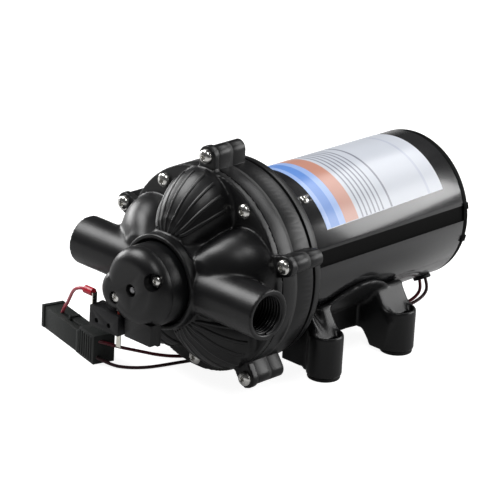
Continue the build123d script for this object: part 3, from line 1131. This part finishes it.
right_screw, left_screw = (
    pan_screws(
        -seat, SWITCH_SCREW_CAP_R, SWITCH_SCREW_CAP_H, SWITCH_SCREW_R, SWITCH_SCREW_BITE - HUB_FACE - FIT,
        [place], recess_depth=PISTON_RECESS_DEPTH
    )
    for place, seat, _ in SWITCH_SCREWS
)
finish(Part() + [right_screw, left_screw], "switch_screws")

# Crank: a finger at the plunger, a hub on its pin and an arm over the microswitch's button
FINGER_FACE = PLUNGER_FACE - CRANK_NOSE_GAP
ARM_TIP_Z = MICRO_Z[1] + BUTTON_H + CRANK_NOSE_GAP
with BuildPart() as crank:
    hub_start = PIN_LINE.offset(CRANK_ARM_X[0] - CRANK_PIN_X[0])
    bars(hub_start, CRANK_HUB_R, CRANK_FINGER_X[1] - CRANK_ARM_X[0])
    nose_top_z = CRANK_NOSE_Z + CRANK_NOSE_W / 2
    with BuildSketch(SIDE.offset(CRANK_FINGER_X[0])) as finger:
        with BuildLine():
            Polyline(
                (FINGER_FACE, CRANK_NOSE_Z - CRANK_NOSE_W / 2),
                (FINGER_FACE, nose_top_z),
                (FINGER_FACE - CRANK_T, nose_top_z),
                (-CRANK_PIN_AT - CRANK_T / 2, CRANK_PIN_Z),
                (-CRANK_PIN_AT + CRANK_T, CRANK_PIN_Z),
                close=True,
            )
        make_face()
    extrude(finger.sketch, amount=CRANK_FINGER_X[1] - CRANK_FINGER_X[0])
    arm_stations = (BUTTON_AT - CRANK_T / 2, -CRANK_PIN_AT)
    block(CRANK_ARM_X, arm_stations, (CRANK_PIN_Z - CRANK_T / 2, CRANK_PIN_Z + CRANK_T / 2))
    block(CRANK_ARM_X, (BUTTON_AT - CRANK_T / 2, BUTTON_AT + CRANK_T / 2), (ARM_TIP_Z, CRANK_PIN_Z))
    bars(PIN_LINE, CRANK_PIN_R + FIT, CRANK_PIN_X[1] - CRANK_PIN_X[0], mode=Mode.SUBTRACT)
finish(crank.part, "crank")

with BuildPart() as crank_pin:
    bars(PIN_LINE, CRANK_PIN_R, CRANK_PIN_X[1] - CRANK_PIN_X[0])
finish(crank_pin.part, "crank_pin")

# Microswitch: case, button, two terminals and the crimped sleeve of the sensing lead
BUTTON_TOP = Plane(
    origin=(BUTTON_X, FLANGE_Y + BUTTON_AT, AXIS_H + MICRO_Z[1] + BUTTON_H), x_dir=(1, 0, 0), z_dir=(0, 0, -1)
)
with BuildPart() as microswitch_case:
    block(MICRO_X, MICRO_STATIONS, MICRO_Z)
    bars(across(MICRO_STATIONS[1]), MICRO_PIN_R + FIT, SWITCH_FACE, MICRO_PINS, Mode.SUBTRACT)
    bars(BUTTON_TOP, BUTTON_R + FIT, BUTTON_H + BUTTON_L + BUTTON_TRAVEL + RUN_GAP, mode=Mode.SUBTRACT)
finish(microswitch_case.part, "microswitch_case")

with BuildPart() as microswitch_button:
    bars(BUTTON_TOP, BUTTON_R, BUTTON_H + BUTTON_L)
finish(microswitch_button.part, "microswitch_button")

with BuildPart() as microswitch_terminals:
    blade_stations = (BUTTON_AT - TERMINAL_T / 2, BUTTON_AT + TERMINAL_T / 2)
    wide_stations = (BUTTON_AT - TERMINAL_W / 2, BUTTON_AT + TERMINAL_W / 2)
    blade_x = (TERMINAL_X - TERMINAL_W / 2, TERMINAL_X + TERMINAL_W / 2)
    block(blade_x, blade_stations, (MICRO_Z[0] - TERMINAL_L, MICRO_Z[0]))
    block((MICRO_X[0] - TERMINAL_T, MICRO_X[0]), wide_stations, (SPADE_LOW_Z, SPADE_Z))
    block((SPADE_END_X, MICRO_X[0]), wide_stations, (SPADE_Z - TERMINAL_T, SPADE_Z))
finish(microswitch_terminals.part, "microswitch_terminals")

with BuildPart() as terminal_sleeve:
    crimp_origin = (CRIMP_X[0], FLANGE_Y + BUTTON_AT, AXIS_H + SPADE_Z - TERMINAL_T / 2)
    bars(Plane(origin=crimp_origin, x_dir=(0, 1, 0), z_dir=(1, 0, 0)), CRIMP_R, CRIMP_X[1] - CRIMP_X[0])
    slot_stations = (wide_stations[0] - FIT, wide_stations[1] + FIT)
    slot_z = (SPADE_Z - TERMINAL_T - FIT, SPADE_Z + FIT)
    block((SPADE_END_X - FIT, CRIMP_X[1]), slot_stations, slot_z, Mode.SUBTRACT)
finish(terminal_sleeve.part, "terminal_sleeve")

# Connector halves and the three leads
PLUG_FRAME = Plane(origin=(*PLUG_ORIGIN, 0), x_dir=(1, 0, 0), z_dir=(0, 0, 1)).rotated((0, 0, PLUG_TURN))


def plug_block(x_span, width, height, low=0.0, mode=Mode.ADD):
    """Adds or cuts a block of the connector, measured back from the end where the leads leave."""
    with BuildSketch(PLUG_FRAME.offset(low)) as section:
        with Locations(((x_span[0] + x_span[1]) / 2, 0)):
            Rectangle(x_span[1] - x_span[0], width)
    extrude(section.sketch, amount=height, mode=mode)


NOSE_W = RECEPTACLE_W - 2 * PLUG_NOSE_WALL
NOSE_H = RECEPTACLE_H - 2 * PLUG_NOSE_WALL
with BuildPart() as connector_plug:
    plug_block((-PLUG_L, 0), PLUG_W, PLUG_H)
    plug_block((-PLUG_L - PLUG_NOSE_L, -PLUG_L), NOSE_W, NOSE_H, PLUG_NOSE_WALL)
finish(connector_plug.part, "connector_plug")

with BuildPart() as connector_receptacle:
    plug_block((-PLUG_L - RECEPTACLE_L, -PLUG_L), RECEPTACLE_W, RECEPTACLE_H)
    socket_x = (-PLUG_L - PLUG_NOSE_L - FIT, -PLUG_L + PAST)
    plug_block(socket_x, NOSE_W + 2 * FIT, NOSE_H + 2 * FIT, PLUG_NOSE_WALL - FIT, Mode.SUBTRACT)
finish(connector_receptacle.part, "connector_receptacle")

for name, route in (("lead_red", RED_ROUTE), ("lead_black", BLACK_ROUTE), ("lead_switch", SWITCH_ROUTE)):
    lead, arcs, length = tube(route, LEAD_R)
    expected = math.pi * LEAD_R**2 * length
    print(name, "length", round(length, 1))
    print("   volume over section times length", round(lead.volume / expected, 4))
    print("   radii", [round(arc, 1) for arc in arcs])
    finish(lead, name)
